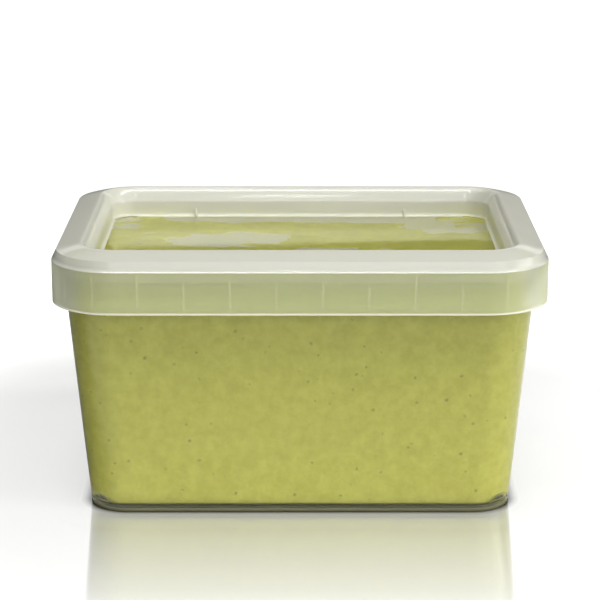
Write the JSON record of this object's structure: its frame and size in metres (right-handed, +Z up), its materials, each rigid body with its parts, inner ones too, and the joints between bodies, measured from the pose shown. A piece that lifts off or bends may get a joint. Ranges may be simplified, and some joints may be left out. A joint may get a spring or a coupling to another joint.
{
  "type": "lidded tub of hummus",
  "caption": "Rectangular translucent plastic food tub filled with green herb hummus, shut with a push-on lid that has a raised rim and a sunken stacking panel.",
  "frame": {"origin": "centre of the tub's footprint on the surface it stands on", "axes": "+X along the long side of the tub, +Y towards the back long side, +Z up through the lid"},
  "size_m": [0.144, 0.104, 0.0795],
  "materials": {
    "tub_plastic": "clear-natural injection-moulded polypropylene, glossy outside",
    "hummus": "smooth moist green chickpea and herb paste with fine dark herb flecks",
    "lid_plastic": "milky natural injection-moulded polypropylene, satin gloss"
  },
  "bodies": {
    "root": {"tub": "tub_plastic", "hummus": "hummus", "lid": "lid_plastic"}
  },
  "joints": []
}
